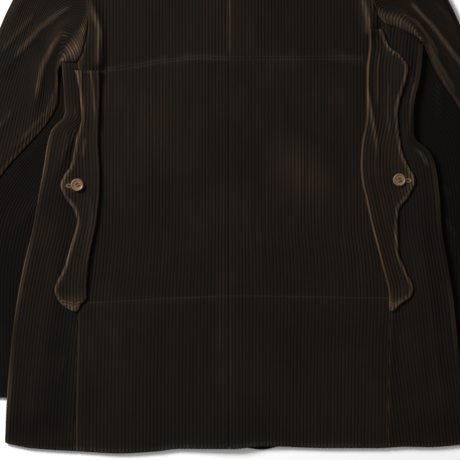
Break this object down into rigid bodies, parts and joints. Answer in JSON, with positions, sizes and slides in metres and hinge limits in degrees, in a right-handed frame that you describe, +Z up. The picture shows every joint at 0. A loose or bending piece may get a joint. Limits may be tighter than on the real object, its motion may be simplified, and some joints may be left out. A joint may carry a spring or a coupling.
{
  "type": "hunting jacket",
  "caption": "Long-sleeved wide-wale corduroy hunting jacket with shaped flaps over its game pocket openings, laid flat on its front.",
  "frame": {"origin": "centre of the bounding box on the surface that the jacket lies on", "axes": "+X across the jacket to its right side, seen from the back, +Y from hem to collar, +Z up out of the jacket's back"},
  "size_m": [0.8816, 0.841, 0.0173],
  "materials": {
    "corduroy": "near-black brown wide-wale cotton corduroy, worn lighter along its edges",
    "horn": "mottled brown horn-like button, satin"
  },
  "bodies": {
    "root": {"front_left": "corduroy", "back_left": "corduroy", "top_sleeve_left": "corduroy", "under_sleeve_left": "corduroy", "pocket_flap_left": "corduroy", "flap_button_left": "horn", "front_right": "corduroy", "back_right": "corduroy", "top_sleeve_right": "corduroy", "under_sleeve_right": "corduroy", "pocket_flap_right": "corduroy", "flap_button_right": "horn", "collar": "corduroy", "front_button_1": "horn", "front_button_2": "horn", "front_button_3": "horn", "front_button_4": "horn"}
  },
  "joints": []
}
